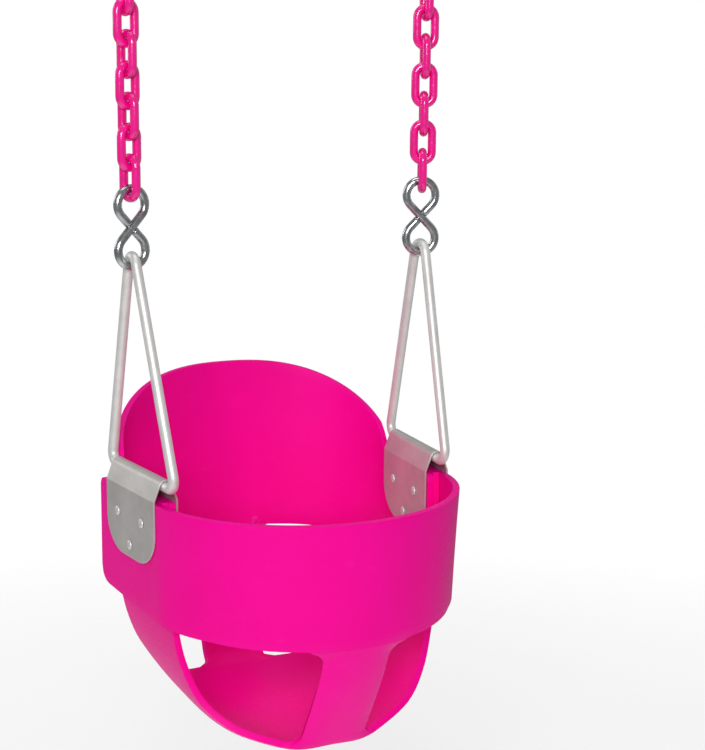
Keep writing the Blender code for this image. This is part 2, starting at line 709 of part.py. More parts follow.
def panel(shape, grid, layer, sign):
    """Faces of one grid; a cell that a rivet passes through becomes four faces round its hole."""
    mirror = (sign, 1, 1)
    rows = [[shape.verts.new(point) for point in row * mirror] for row in grid]
    for i in range(len(rows) - 1):
        for k in range(len(rows[i]) - 1):
            spots = ((i, k), (i, k + 1), (i + 1, k + 1), (i + 1, k))
            corners = [rows[r][c] for r, c in spots]
            cell = [grid[r][c] for r, c in spots]
            ring = rivet_ring(cell, layer)
            if ring is None:
                shape.faces.new(corners)
                continue
            middle = np.mean(ring, axis=0)
            hole = [shape.verts.new(np.array(point) * mirror) for point in ring]
            nearest = []
            for corner in cell:
                angle = atan2(corner[2] - middle[2], corner[1] - middle[1])
                nearest.append(round(angle / (pi / 6) - 0.5) % 12)
            for n in range(4):
                start, end = nearest[n], nearest[(n + 1) % 4]
                turn = 1 if (end - start) % 12 < 6 else -1
                arc_points = []
                while start != end:
                    arc_points.append(hole[start])
                    start = (start + turn) % 12
                arc_points.append(hole[end])
                shape.faces.new([corners[n]] + arc_points + [corners[(n + 1) % 4]])


def shell_sheet():
    """The moulding's middle surface, welded from its five panels and their mirror images."""
    front, rear, floor = band(), back(), hip()
    inner = slice(0, COLUMNS + 1)
    crotch = strap(front[0][inner], floor[0][inner], STRAP_PROFILE, (STRAP_FILLET, FLOOR_FILLET))
    tail = strap(rear[0][inner], floor[-1][inner], TAIL_PROFILE, (TAIL_FILLET, FLOOR_FILLET))
    shape = bmesh.new()
    for sign in (1, -1):
        for grid, layer in ((front, 1), (rear, -1), (floor, 0), (crotch, 0), (tail, 0)):
            panel(shape, grid, layer, sign)
    bmesh.ops.remove_doubles(shape, verts=shape.verts, dist=0.00002)
    return mesh_of(shape, "bucket_seat")


def seat(finish):
    shell = add_object("bucket_seat", shell_sheet(), finish, 40)
    shell.location.z = APEX_Z
    sheet = shell.modifiers.new("sheet", "SOLIDIFY")
    sheet.thickness = SHEET
    sheet.offset = 0


clear_objects()
PINK = material("pink_plastic", (0.91, 0.004, 0.27), 0.38)
COATING = material("pink_chain_coating", (0.92, 0.006, 0.30), 0.24, coat=0.3)
ZINC = material("bright_zinc", (0.72, 0.73, 0.75), 0.22, 1.0)
STEEL = material("grey_rod", (0.55, 0.56, 0.58), 0.30, 1.0)
PLATE = material("satin_plate", (0.45, 0.44, 0.42), 0.42, 1.0)
DARK = material("spring_steel", (0.28, 0.28, 0.30), 0.35, 1.0)
carabiners(ZINC, DARK)
chain(COATING)
hooks(ZINC)
hangers(STEEL)
saddles(PLATE)
rivets(ZINC)
seat(PINK)
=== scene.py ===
"""Looks of the toddler bucket swing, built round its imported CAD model.

Everything is in metres in the CAD model's own frame: +Z up, the seat faces -Y, and the origin is midway
between the two points where the carabiners hang on the beam. Each rod, link and hook follows the CAD
part's centrelines with finer meshes; the seat is the same folded sheet with smooth bends and round rims.
"""
from math import acos, asin, atan2, cos, hypot, pi, radians, sin, tan

import bmesh
import bpy
import numpy as np
from mathutils import Matrix, Vector


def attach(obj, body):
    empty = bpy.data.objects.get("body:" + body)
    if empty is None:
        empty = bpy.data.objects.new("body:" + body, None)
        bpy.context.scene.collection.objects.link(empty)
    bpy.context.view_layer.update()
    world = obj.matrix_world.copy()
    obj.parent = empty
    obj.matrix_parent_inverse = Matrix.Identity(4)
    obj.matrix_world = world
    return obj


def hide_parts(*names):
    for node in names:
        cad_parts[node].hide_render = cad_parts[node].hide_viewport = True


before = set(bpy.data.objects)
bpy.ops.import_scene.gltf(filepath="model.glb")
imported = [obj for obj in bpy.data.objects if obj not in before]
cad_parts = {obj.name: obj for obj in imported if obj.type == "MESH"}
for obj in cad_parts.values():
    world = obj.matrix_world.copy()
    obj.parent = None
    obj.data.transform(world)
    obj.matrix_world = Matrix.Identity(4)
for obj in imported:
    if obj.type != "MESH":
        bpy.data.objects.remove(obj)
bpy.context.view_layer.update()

SIDES = {"left": -1, "right": 1}
GAP = 0.0003  # between pieces that touch
PLAY = 0.0005  # between links, whose turned bows slip a little as they swing

# carabiners
CARABINER_LENGTH = 0.080
CARABINER_WIDE = 0.0425
CARABINER_NARROW = 0.0230
CARABINER_ROD = 0.0064
GATE_TOP = 0.0585  # height of the hinge pin over the wide bow's centreline
GATE_NOSE = 0.0265  # height of the nose joint
PIN_RADIUS = 0.0009
TANG_THICK = 0.0018
FORK_SLOT = 0.0026

# chain
LINK_PITCH = 0.0243
LINK_ROD = 0.0072
LINK_WIDTH = 0.0227
LINK_COUNT = 7
CHAIN_TWIST = {"left": radians(20), "right": radians(-24)}
CHAIN_SPLAY = tan(radians(0.7))

# S-hooks
HOOK_ROD = 0.0070
HOOK_HEIGHT = 0.0695
HOOK_WIDTH = 0.0325
HOOK_CLOSE = 0.0041  # from the diagonal's centreline to a bent-in end
HOOK_TWIST = {"left": radians(13), "right": radians(-16)}

# triangle hangers
HANGER_X = 0.1317
HANGER_ROD = 0.0085
HANGER_DROP = 0.1806
HANGER_REAR = 0.056
HANGER_FRONT = -0.070
APEX_BEND = 0.0100
CORNER_BEND = 0.0090

# saddle plates, folded over the hangers' base rods
ROLL_X = 0.1280
TOE = tan(radians(5.1))  # the hangers stand closer together at the front
SADDLE_MID = -0.004
SADDLE_LENGTH = 0.094
SADDLE_SHEET = 0.0016
SADDLE_CREASE = 0.0115
SADDLE_SHOULDER = 0.040
SADDLE_DEPTH = 0.069
SADDLE_CORNER = 0.032
RIVETS = ((0.0235, -0.034), (-0.0235, -0.034), (0.0, -0.058))
RIVET_RADIUS = 0.0024
RIVET_HEAD = 0.0041

# seat
SHEET = 0.0056
LAYER = SHEET + 0.0004
BAND_FRONT = -0.1652
BAND_ARC_START = -0.044
BAND_REAR = 0.060
BAND_TOP = -0.1945
BAND_LOW = ((-0.165, -0.298), (-0.075, -0.294), (-0.020, -0.291), (0.048, -0.286))  # y, z
BAND_TAPER = 0.0072
BAND_ROUND_LOW = 0.0145
BAND_ROUND_TOP = 0.0060
STRAP_HALF = 0.028
STRAP_FILLET = 0.017
FLOOR_FILLET = 0.010
TAIL_FILLET = 0.013
BACK_REAR = 0.131
BACK_ARC_START = 0.045
BACK_LOW = ((-0.051, -0.262), (0.040, -0.262), (0.058, -0.282), (0.085, -0.280), (0.120, -0.275),
            (0.131, -0.274))
BACK_RIM = -0.117
RIM_FALL = 0.069
RIM_POWER = 2.6
RIM_STEP = ((-0.051, 0.0), (0.0445, 0.0), (0.060, 1.0), (0.131, 1.0))
STEP_LINES = (0.060, 0.056, 0.052, 0.048, 0.0445, 0.037)  # grid lines where the rim steps down to the plates
WING_TOP = -0.194
WING_FRONT = -0.051
WING_ROUND_LOW = 0.013
WING_ROUND_TOP = 0.006
HIP_TOP = -0.1935
SEAT_SAG = 0.013
COLUMNS = 8  # across half a strap
FLAT_BELOW = -0.252  # the layers are flat against each other above this height
WING_LINES = tuple(np.linspace(-0.0375, 0.0295, 9))  # grid lines along the saddle
WING_ROWS = tuple(np.linspace(-0.2505, -0.2015, 7))  # and across it
BAND_ROWS = np.linspace(0, 1, 13)
BACK_ROWS = np.linspace(0, 1, 17)
HIP_ROWS = np.linspace(0, 1, 29)

STRAP_PROFILE = ((-0.158, -0.298), (-0.149, -0.318), (-0.140, -0.336), (-0.128, -0.357), (-0.115, -0.378),
                 (-0.103, -0.398))
TAIL_PROFILE = ((0.131, -0.274), (0.131, -0.320), (0.125, -0.362), (0.116, -0.389), (0.106, -0.399))

BOW_Z = -(CARABINER_LENGTH - 1.5 * CARABINER_ROD)  # centreline of the wide bow, under the bearing point
LINK_INNER = LINK_PITCH + PLAY
TOP_LINK_Z = BOW_Z + CARABINER_ROD / 2 + PLAY - LINK_INNER / 2
BOTTOM_LINK_Z = TOP_LINK_Z - LINK_PITCH * (LINK_COUNT - 1)
HOOK_TOP_Z = BOTTOM_LINK_Z - LINK_INNER / 2 + PLAY + HOOK_ROD / 2
HOOK_BOTTOM_Z = HOOK_TOP_Z - (HOOK_HEIGHT - HOOK_ROD)
APEX_Z = HOOK_BOTTOM_Z + HOOK_ROD / 2 + GAP + HANGER_ROD / 2

# finer shapes that only the looks have
END_DOME = 0.45  # height of a rod end's dome, as a share of its radius
FLOOR_Z = -1.05
HOLE_LENGTH = 0.012  # of the pins' cutters
RIM_ROUND = 0.0023  # radius of the moulding's rounded rims
PLATE_ROUND = 0.0004  # radius of the plates' eased edges
PLATE_TOP = 0.012  # the plate's blank stands this far over the fold
TRIM_HALF = 0.03  # of the block that trims a plate to its outline
RIVET_RISE = 0.0016
RIVET_SIDES = 28
TONGUE = 0.0024  # half width of the body's hinge tongue, which is also the gate's end
TONGUE_RISE = 0.0052
NOSE_HALF = 0.0018
BORE_RADIUS = 0.0019  # of the gate's hollow, where its spring lies
BORE_ENDS = (-0.0130, -0.0020)
PIN_LENGTH = 0.90  # as a share of the carabiner's rod
PLAN_TURN = 240  # points round the bend of a wall's plan
PLAN_RUN = 60  # and along its straight end
WELD = 0.00002

# floor, light and camera
FLOOR_RADIUS = 1.9
FLOOR_CORE = 0.25  # radius of the disc's plain middle
FLOOR_RINGS = 24
FLOOR_SIDES = 96
FLOOR_GLOW = 0.30
SURROUND = 0.27
BACKDROP = 1.0
LAMPS = (  # name, place, watts, size
    ("key", (-1.3, -2.5, 0.55), 56, (1.1, 1.0)),
    ("side", (2.4, 0.2, 0.1), 3, (0.5, 1.8)),
    ("top", (-0.1, 0.1, 1.7), 14, (1.3, 1.3)),
    ("back", (-1.6, 1.9, 0.5), 10, (0.8, 1.4)),
)
LAMP_AIM = (0, 0, -0.45)
SENSOR = 36.0
LENS = 87.75
VIEW_AZIMUTH = -26.2
VIEW_ELEVATION = 10.7
VIEW_ROLL = 0.5
VIEW_PLACE = (-0.5796, -1.3141, -0.12325)


def chain_x(side, z):
    """The chains stand a little further apart at the beam than at the hangers."""
    return SIDES[side] * (HANGER_X + (z - APEX_Z) * CHAIN_SPLAY)


def chain_twist(side, number):
    """The chains are turned about their own length, less so next to the carabiners."""
    return CHAIN_TWIST[side] * min(1.0, (number + 1) / 5)


def add_piece(node, mesh, slot, body, place=None, smooth=35):
    """A finished piece that stands for one CAD node: its mesh, its finish and the body it moves with."""
    mesh.shade_smooth()
    mesh.set_sharp_from_angle(angle=radians(smooth))
    mesh.materials.clear()
    mesh.materials.append(FINISHES[slot])
    made = bpy.data.objects.new(f"look_{node}", mesh)
    bpy.context.scene.collection.objects.link(made)
    if place is not None:
        made.matrix_world = place
    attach(made, body)
    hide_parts(node)
    return made


def round_edges(piece, width, limit, segments=2):
    """Rounds the sharp edges of a piece."""
    edge = piece.modifiers.new("round_edges", "BEVEL")
    edge.width = width
    edge.segments = segments
    edge.limit_method = "ANGLE"
    edge.angle_limit = radians(limit)


def mesh_of(shape, name):
    bmesh.ops.recalc_face_normals(shape, faces=shape.faces)
    mesh = bpy.data.meshes.new(name)
    shape.to_mesh(mesh)
    shape.free()
    return mesh


def arc(centre, radius, start, end, steps):
    """Points on an arc, angles in radians, both ends included."""
    angles = np.linspace(start, end, steps + 1)
    return [(centre[0] + radius * cos(a), centre[1] + radius * sin(a)) for a in angles]


def rounded(corners, radii, steps):
    """A closed outline of straight sides whose corners are rounded by tangent arcs."""
    path = []
    count = len(corners)
    for i, corner in enumerate(corners):
        here = Vector(corner)
        before = (Vector(corners[i - 1]) - here).normalized()
        after = (Vector(corners[(i + 1) % count]) - here).normalized()
        half = before.angle(after) / 2
        back = radii[i] / tan(half)
        centre = here + (before + after).normalized() * (radii[i] / sin(half))
        start = here + before * back - centre
        end = here + after * back - centre
        turn = start.angle_signed(end)
        for step in range(steps + 1):
            angle = -turn * step / steps
            path.append(centre + Matrix.Rotation(angle, 2) @ start)
    return [(p.x, p.y) for p in path]


def dome(shape, ring, centre, out, radius, plane):
    """Closes a rod's end with a shallow dome."""
    flat = (centre[0], 0, centre[1]) if plane == "XZ" else (0, centre[0], centre[1])
    way = Vector((out.x, 0, out.y)) if plane == "XZ" else Vector((0, out.x, out.y))
    middle = Vector(flat)
    before = ring
    for turn in (25, 50, 72):
        grown = [shape.verts.new(middle + (v.co - middle) * cos(radians(turn)) + way * (
            radius * END_DOME * sin(radians(turn)))) for v in ring]
        for k in range(len(ring)):
            j = (k + 1) % len(ring)
            shape.faces.new((before[k], before[j], grown[j], grown[k]))
        before = grown
    shape.faces.new(before)


def sweep(path, radius, sides, closed=True, plane="XZ"):
    """A round rod along a flat path: one ring of points for each point of the path."""
    shape = bmesh.new()
    count = len(path)
    rings = []
    for i, (a, b) in enumerate(path):
        before = path[i - 1] if closed or i else path[0]
        after = path[(i + 1) % count] if closed or i < count - 1 else path[-1]
        along = Vector((after[0] - before[0], after[1] - before[1])).normalized()
        ring = []
        for k in range(sides):
            angle = 2 * pi * k / sides
            inward = radius * cos(angle)
            aside = radius * sin(angle)
            u, w = a - along.y * inward, b + along.x * inward
            ring.append(shape.verts.new((u, aside, w) if plane == "XZ" else (aside, u, w)))
        rings.append(ring)
    for i in range(count if closed else count - 1):
        ring, after = rings[i], rings[(i + 1) % count]
        for k in range(sides):
            shape.faces.new((ring[k], ring[(k + 1) % sides], after[(k + 1) % sides], after[k]))
    if not closed:
        for ring, (a, b), (c, d) in ((rings[0], path[0], path[1]), (rings[-1], path[-1], path[-2])):
            out = Vector((a - c, b - d)).normalized()
            dome(shape, ring, (a, b), out, radius, plane)
    return shape


def link_mesh():
    """An oval link in the YZ plane, standing."""
    bend = (LINK_WIDTH - LINK_ROD) / 2
    rise = LINK_INNER / 2 + LINK_ROD / 2 - bend
    path = arc((0, rise), bend, 0, pi, 20) + arc((0, -rise), bend, pi, 2 * pi, 20)
    return mesh_of(sweep(path, LINK_ROD / 2, 20, plane="YZ"), "chain_link")


def hook_path():
    """Half of an S-hook's centreline: off its diagonal, round the upper loop and back to the diagonal."""
    loop = (HOOK_WIDTH - HOOK_ROD) / 2
    rise = (HOOK_HEIGHT - HOOK_ROD) / 2 - loop
    waist = asin(loop / rise)
    over = arc((0, rise), loop, -waist, pi + waist, 40)
    end = Vector(over[-1])
    stop = end.normalized() * HOOK_CLOSE
    return over + [tuple(end.lerp(stop, share)) for share in (0.25, 0.5, 0.75, 1.0)]


def hook_mesh(mirror):
    upper = hook_path()
    lower = [(-x, -z) for x, z in upper]
    path = [(mirror * x, z) for x, z in lower[::-1] + upper]
    return mesh_of(sweep(path, HOOK_ROD / 2, 22, closed=False), "s_hook")


def carabiner_outline():
    """Centreline of the pear: wide bow at the bottom, narrow bow at the top, both round."""
    wide = (CARABINER_WIDE - CARABINER_ROD) / 2
    narrow = (CARABINER_NARROW - CARABINER_ROD) / 2
    low = wide
    high = CARABINER_LENGTH - CARABINER_ROD - narrow
    lean = asin((wide - narrow) / (high - low))
    return wide, narrow, low, high, lean


def gate_line(height):
    """The gate's straight side: its x at a height over the wide bow's centreline."""
    wide, _, low, _, lean = carabiner_outline()
    return wide / cos(lean) - (height - low) * tan(lean)


def carabiner_body_mesh():
    wide, narrow, low, high, lean = carabiner_outline()
    over = arc((0, high), narrow, lean, pi - lean, 24)
    under = arc((0, low), wide, pi - lean, 2 * pi + lean, 44)
    nose_top = GATE_NOSE - 0.0006
    hinge_low = GATE_TOP + 0.0042
    path = [(gate_line(hinge_low), hinge_low)] + over + under + [(gate_line(nose_top), nose_top)]
    return mesh_of(sweep(path, CARABINER_ROD / 2, 24, closed=False), "carabiner_body")


def gate_frame():
    """The gate's own frame: origin on the hinge pin, Z along the gate towards the hinge."""
    lean = carabiner_outline()[4]
    return Matrix.Translation((gate_line(GATE_TOP), 0, GATE_TOP)) @ Matrix.Rotation(-lean, 4, "Y")


def gate_drop():
    """Distance along the gate from its pin to its nose end."""
    return (GATE_TOP - GATE_NOSE) / cos(carabiner_outline()[4])


def tang_mesh(name):
    """The body's tongue inside the gate's fork, round about the pin, whose hole make_carabiners cuts through
    it later: drawn in the gate's frame.
    """
    round_end = arc((0, 0), TONGUE, pi, 2 * pi, 8)
    outline = round_end + [(TONGUE, TONGUE_RISE), (-TONGUE, TONGUE_RISE)]
    return prism(outline, -TANG_THICK / 2, TANG_THICK / 2, "Y", name)


def nose_mesh(name):
    """The body's tongue at the nose: it reaches up into the gate's lower fork."""
    low = -gate_drop() - 0.0030
    outline = [(-NOSE_HALF, low), (NOSE_HALF, low), (NOSE_HALF, low + 0.0052)]
    outline += [(NOSE_HALF / 3, low + 0.0064), (-NOSE_HALF, low + 0.0058)]
    return prism(outline, -TANG_THICK / 2, TANG_THICK / 2, "Y", name)


def slot_mesh(low, high, name):
    half = CARABINER_ROD
    outline = [(-half, low), (half, low), (half, high), (-half, high)]
    return prism(outline, -FORK_SLOT / 2, FORK_SLOT / 2, "Y", name)


def hanger_mesh():
    """A rod bent to a triangle in the YZ plane, welded into one ring; its top's centreline is at z = 0."""
    half = (HANGER_REAR - HANGER_FRONT) / 2
    spread = atan2(half, HANGER_DROP)
    peak = APEX_BEND * (1 / sin(spread) - 1)
    lean = atan2((HANGER_REAR + HANGER_FRONT) / 2, HANGER_DROP)
    corners = [(-peak * sin(lean), peak), (HANGER_REAR, -HANGER_DROP), (HANGER_FRONT, -HANGER_DROP)]
    path = rounded(corners, (APEX_BEND, CORNER_BEND, CORNER_BEND), 18)
    rise = max(z for y, z in path)
    path = [(y, z - rise * (1 + z / HANGER_DROP)) for y, z in path]
    return mesh_of(sweep(path, HANGER_ROD / 2, 22, plane="YZ"), "triangle_hanger")


def roll_x(y):
    return ROLL_X + (y - SADDLE_MID) * TOE


def prism(outline, low, high, axis, name):
    """A flat outline given a length: along Y its points are x, z and along X they are y, z."""
    shape = bmesh.new()
    corners = [(u, low, w) if axis == "Y" else (low, u, w) for u, w in outline]
    face = shape.faces.new([shape.verts.new(corner) for corner in corners])
    made = bmesh.ops.extrude_face_region(shape, geom=[face])
    moved = [v for v in made["geom"] if isinstance(v, bmesh.types.BMVert)]
    bmesh.ops.translate(shape, verts=moved, vec=(0, high - low, 0) if axis == "Y" else (high - low, 0, 0))
    return mesh_of(shape, name)


def saddle_frame(side):
    """The saddle's own frame: origin on the rod's centreline at the plate's middle, Y along the rod."""
    sign = SIDES[side]
    turn = Matrix.Rotation(-sign * atan2(TOE, 1), 4, "Z")
    return Matrix.Translation((sign * ROLL_X, SADDLE_MID, APEX_Z - HANGER_DROP)) @ turn


def saddle_section():
    """The folded sheet in XZ, seen along the rod: both flanges, with the roll over the rod between them."""
    flange = 1.5 * LAYER + GAP + SADDLE_SHEET
    roll = HANGER_ROD / 2 + GAP + SADDLE_SHEET
    reach = hypot(flange, SADDLE_CREASE)
    start = atan2(-SADDLE_CREASE, flange) + acos(roll / reach)
    over = arc((0, 0), roll, start, pi - start, 28)
    under = arc((0, 0), roll - SADDLE_SHEET, start, pi - start, 28)
    inside = flange - SADDLE_SHEET
    outer = [(flange, -SADDLE_DEPTH), (flange, -SADDLE_CREASE)] + over
    outer += [(-flange, -SADDLE_CREASE), (-flange, -SADDLE_DEPTH)]
    inner = [(inside, -SADDLE_DEPTH), (inside, -SADDLE_CREASE)] + under
    inner += [(-inside, -SADDLE_CREASE), (-inside, -SADDLE_DEPTH)]
    return outer + inner[::-1]


def saddle_outline():
    """The plate seen from the side, taller than the fold and with round lower corners."""
    half = SADDLE_LENGTH / 2
    fall = SADDLE_DEPTH - SADDLE_SHOULDER
    turns = np.linspace(0, pi / 2, 24)
    right = [(half - SADDLE_CORNER * (1 - cos(a)), -SADDLE_SHOULDER - fall * sin(a)) for a in turns]
    left = [(-y, z) for y, z in right[::-1]]
    return [(-half, PLATE_TOP), (half, PLATE_TOP)] + right + left


def side_x(y, layer):
    """Middle of a layer at the hangers: -1 is the back's wing, 0 the hip's, 1 the band's end."""
    return roll_x(y) + layer * LAYER


def spline(points, share):
    """A smooth line through points, read at a share of its length."""
    knots = np.array(points, float)
    last = len(knots) - 1
    steps = np.r_[0, np.cumsum(np.linalg.norm(np.diff(knots, axis=0), axis=1))]
    steps /= steps[-1]
    i = int(np.clip(np.searchsorted(steps, share, side="right") - 1, 0, last - 1))
    h = steps[i + 1] - steps[i]
    t = (share - steps[i]) / h
    slopes = []
    for k in (i, i + 1):
        before, after = max(k - 1, 0), min(k + 1, last)
        slopes.append((knots[after] - knots[before]) / (steps[after] - steps[before]) * h)
    start = (2 * t ** 3 - 3 * t ** 2 + 1) * knots[i] + (t ** 3 - 2 * t ** 2 + t) * slopes[0]
    return start + (3 * t ** 2 - 2 * t ** 3) * knots[i + 1] + (t ** 3 - t ** 2) * slopes[1]


def wall_plan(far, arc_start, layer, end):
    """Right half of a wall's plan: a quarter ellipse from the centre line, then straight along the toe."""
    angles = np.linspace(0, pi / 2, PLAN_TURN)
    half = side_x(arc_start, layer)
    bend = np.stack([half * np.sin(angles), arc_start + (far - arc_start) * np.cos(angles)], 1)
    y = np.linspace(arc_start, end, PLAN_RUN)[1:]
    return np.vstack([bend, np.stack([side_x(y, layer), y], 1)])


def stations(path, first, rest, bend, lines):
    """Distances along a plan: strap columns up to x = first, an even run, the rivets' lines, a round end."""
    run = np.r_[0, np.cumsum(np.linalg.norm(np.diff(path, axis=0), axis=1))]
    columns = first * np.arange(COLUMNS + 1) / COLUMNS
    columns = np.interp(columns, path[:PLAN_TURN, 0], run[:PLAN_TURN])
    way = np.sign(path[-1, 1] - path[0, 1])
    fixed = np.interp(way * np.array(lines), way * path[:, 1], run)
    even = np.linspace(columns[-1], fixed[0], rest + 1)[1:-1]
    turn = run[-1] - bend * (1 - np.sin(np.radians((0, 15, 30, 45, 60, 90))))
    return run, np.r_[columns, even, fixed, turn]


def rounding(left, radius):
    """How far an edge has drawn in at a distance from the end of its wall."""
    inside = np.clip(radius - left, 0, radius)
    return radius - np.sqrt(radius ** 2 - inside ** 2)


def wall(path, run, places, low, high, bends, shares, taper=None):
    """Grid of points, low edge first. low and high are heights; the taper draws the low edge inwards."""
    slope = np.gradient(path, run, axis=0)
    grid = []
    for k, place in enumerate(places):
        spot = np.array([np.interp(place, run, path[:, i]) for i in (0, 1)])
        along = np.array([np.interp(place, run, slope[:, i]) for i in (0, 1)])
        inward = np.array([-along[1], along[0]]) / np.linalg.norm(along)
        left = run[-1] - place
        bottom = low[k] + rounding(left, bends[0])
        top = high[k] - rounding(left, bends[1])
        column = []
        for v in shares:
            z = bottom + (top - bottom) * v
            push = 0.0 if taper is None else taper[k] * (high[k] - z) / (high[k] - low[k])
            column.append((*(spot + inward * push), z))
        grid.append(column)
    made = np.array(grid).transpose(1, 0, 2)
    made[:, 0, 0] = 0
    return made


def band():
    path = wall_plan(BAND_FRONT, BAND_ARC_START, 1, BAND_REAR)
    run, places = stations(path, STRAP_HALF + STRAP_FILLET, 26, BAND_ROUND_LOW, WING_LINES)
    y = np.interp(places, run, path[:, 1])
    low = np.interp(y, *zip(*BAND_LOW))
    taper = BAND_TAPER * np.interp(y, (-0.110, -0.060), (1.0, 0.0))
    high = np.full(len(y), BAND_TOP)
    return wall(path, run, places, low, high, (BAND_ROUND_LOW, BAND_ROUND_TOP), BAND_ROWS, taper)


def back():
    path = wall_plan(BACK_REAR, BACK_ARC_START, -1, WING_FRONT)
    lines = STEP_LINES + WING_LINES[::-1]
    run, places = stations(path, STRAP_HALF + TAIL_FILLET, 26, WING_ROUND_LOW, lines)
    y = np.interp(places, run, path[:, 1])
    low = np.interp(y, *zip(*BACK_LOW))
    share = np.clip(places / np.interp(-BACK_ARC_START, -path[:, 1], run), 0, 1)
    rim = BACK_RIM - RIM_FALL * share ** RIM_POWER
    step = np.interp(y, *zip(*RIM_STEP))
    step = step * step * (3 - 2 * step)
    high = rim * step + WING_TOP * (1 - step)
    return wall(path, run, places, low, high, (WING_ROUND_LOW, WING_ROUND_TOP), BACK_ROWS)


def hip_edges():
    front = [(0, -0.103, -0.398), (0.028, -0.102, -0.398), (0.050, -0.097, -0.392), (0.080, -0.086, -0.379),
             (0.101, -0.071, -0.359), (0.113, -0.061, -0.330), (0.119, -0.057, -0.299),
             (side_x(-0.053, 0), -0.053, -0.252), (side_x(-0.050, 0), -0.050, HIP_TOP)]
    rear = [(0, 0.106, -0.399), (0.028, 0.105, -0.399), (0.050, 0.097, -0.397), (0.068, 0.084, -0.388),
            (0.095, 0.060, -0.361), (0.112, 0.050, -0.338), (0.123, 0.046, -0.312), (0.1292, 0.044, -0.285),
            (side_x(0.043, 0), 0.043, -0.252), (side_x(0.041, 0), 0.041, HIP_TOP)]
    return front, rear


def hip(rest=30):
    """The floor with its two wings: rows run from the leg holes' edge to the rear windows' edge."""
    table = np.linspace(0, 1, 400)
    edges = []
    for points in hip_edges():
        line = np.array([spline(points, share) for share in table])
        first = (STRAP_HALF + FLOOR_FILLET) * np.arange(COLUMNS + 1) / COLUMNS
        flat = int(np.argmax(line[:, 0] > 0.100))
        strap_shares = np.interp(first, line[:flat, 0], table[:flat])
        wing_shares = np.interp(WING_ROWS, line[flat:, 2], table[flat:])
        even = np.linspace(strap_shares[-1], wing_shares[0], rest + 1)[1:-1]
        shares = np.r_[strap_shares, even, wing_shares, 1]
        edges.append((shares, np.array([spline(points, share) for share in shares])))
    grid = []
    for q in HIP_ROWS:
        row = edges[0][1] * (1 - q) + edges[1][1] * q
        row[:, 2] -= SEAT_SAG * (1 - (2 * q - 1) ** 4) * np.clip(1 - 1.6 * edges[0][0], 0, 1)
        flat = np.clip((row[:, 2] + 0.275) / (0.275 + FLAT_BELOW), 0, 1)
        row[:, 0] += flat * (side_x(row[:, 1], 0) - row[:, 0])
        grid.append(row)
    return np.array(grid)


def strap(top, bottom, profile, fillets, rows=22):
    """A strap between two rows of points, with round fillets where it widens into them."""
    line = np.array([spline(profile, share) for share in np.linspace(0, 1, 200)])
    run = np.r_[0, np.cumsum(np.linalg.norm(np.diff(line, axis=0), axis=1))]
    starts = fillets[0] * (1 - np.cos(np.radians((18, 36, 54, 72, 90))))
    ends = run[-1] - fillets[1] * (1 - np.cos(np.radians((90, 76, 62))))
    middle = np.linspace(starts[-1], ends[0], rows)[1:-1]
    grid = [top]
    for place in np.r_[starts, middle, ends]:
        half = STRAP_HALF + rounding(place, fillets[0]) + rounding(run[-1] - place, fillets[1])
        share = place / run[-1]
        y, z = (np.interp(place, run, line[:, i]) for i in (0, 1))
        row = (top - top[0]) * (1 - share) + (bottom - bottom[0]) * share + (0, y, z)
        row[:, 0] = half * np.arange(COLUMNS + 1) / COLUMNS
        grid.append(row)
    grid.append(bottom)
    return np.array(grid)


def shaped(mesh, steps):
    """A mesh joined with or cut by others, each given with its place and the operation."""
    block = bpy.data.objects.new("block", mesh)
    bpy.context.scene.collection.objects.link(block)
    tools = []
    for cutter, place, operation in steps:
        tool = bpy.data.objects.new("tool", cutter)
        bpy.context.scene.collection.objects.link(tool)
        tool.matrix_world = place
        tools.append(tool)
        step = block.modifiers.new("step", "BOOLEAN")
        step.operation = operation
        step.object = tool
        step.solver = "EXACT"
    graph = bpy.context.evaluated_depsgraph_get()
    made = bpy.data.meshes.new_from_object(block.evaluated_get(graph))
    for thing in [block] + tools:
        bpy.data.objects.remove(thing)
    return made


def pin_rod(radius, length):
    """A pin along Y with domed ends."""
    half = length / 2
    return mesh_of(sweep([(-half, 0), (half, 0)], radius, 24, closed=False, plane="YZ"), "pin")


# ---------------------------------------------------------------- chains, hooks and carabiners

def make_chains():
    for side in SIDES:
        for number in range(1, LINK_COUNT + 1):
            z = TOP_LINK_Z - LINK_PITCH * (number - 1)
            turn = chain_twist(side, number) + (pi / 2 if number % 2 == 0 else 0)
            place = Matrix.Translation((chain_x(side, z), 0, z)) @ Matrix.Rotation(turn, 4, "Z")
            node = f"chain_link_{side}_{number}"
            add_piece(node, link_mesh(), "pink_chain_coating", f"link_pair_{number}", place, 60)


def make_hooks():
    for side, sign in SIDES.items():
        place = Matrix.Translation((sign * HANGER_X, 0, (HOOK_TOP_Z + HOOK_BOTTOM_Z) / 2))
        place = place @ Matrix.Rotation(HOOK_TWIST[side], 4, "Z")
        add_piece(f"s_hook_{side}", hook_mesh(-sign), "bright_zinc", "s_hooks", place, 50)


